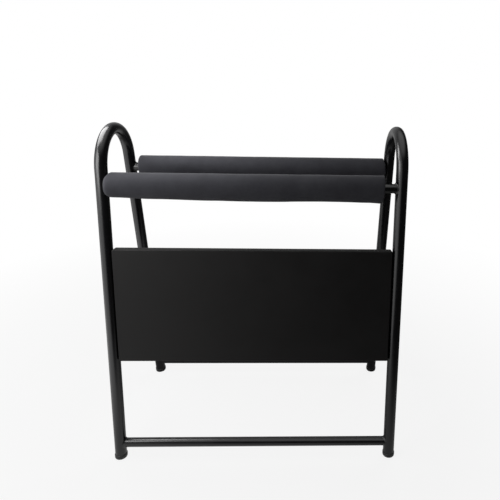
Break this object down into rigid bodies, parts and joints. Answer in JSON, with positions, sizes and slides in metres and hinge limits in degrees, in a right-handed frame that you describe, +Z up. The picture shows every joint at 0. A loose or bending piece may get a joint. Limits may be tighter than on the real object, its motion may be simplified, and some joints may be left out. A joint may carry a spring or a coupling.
{
  "type": "racket display stand",
  "caption": "Free-standing stand with splayed bent-tube end frames, padded rails with a slot between them for hanging rackets, lower crossbars and a plain front board.",
  "frame": {"origin": "on the floor, midway between the four feet", "axes": "+Z up, +X to the right seen from the front, front board on the -Y side"},
  "size_m": [0.4846, 0.254, 0.5585],
  "materials": {
    "powder_coat": "satin black powder coat with a fine orange-peel texture",
    "foam": "matte charcoal closed-cell foam",
    "board": "plain black laminated board, low sheen",
    "cap_plastic": "matte black moulded plastic",
    "zinc": "zinc-plated steel"
  },
  "bodies": {
    "root": {"board_screw_lower_left": "zinc", "board_screw_lower_right": "zinc", "board_screw_upper_left": "zinc", "board_screw_upper_right": "zinc", "board_tab_lower_left": "powder_coat", "board_tab_lower_right": "powder_coat", "board_tab_upper_left": "powder_coat", "board_tab_upper_right": "powder_coat", "board_washer_lower_left": "zinc", "board_washer_lower_right": "zinc", "board_washer_upper_left": "zinc", "board_washer_upper_right": "zinc", "foot_cap_front_left": "cap_plastic", "foot_cap_front_right": "cap_plastic", "foot_cap_rear_left": "cap_plastic", "foot_cap_rear_right": "cap_plastic", "front_board": "board", "front_foam_sleeve": "foam", "front_lower_crossbar": "powder_coat", "front_top_rail": "powder_coat", "left_end_frame": "powder_coat", "rear_foam_sleeve": "foam", "rear_lower_crossbar": "powder_coat", "rear_top_rail": "powder_coat", "right_end_frame": "powder_coat", "weld_front_lower_crossbar_left": "powder_coat", "weld_front_lower_crossbar_right": "powder_coat", "weld_front_top_rail_left": "powder_coat", "weld_front_top_rail_right": "powder_coat", "weld_rear_lower_crossbar_left": "powder_coat", "weld_rear_lower_crossbar_right": "powder_coat", "weld_rear_top_rail_left": "powder_coat", "weld_rear_top_rail_right": "powder_coat"}
  },
  "joints": []
}
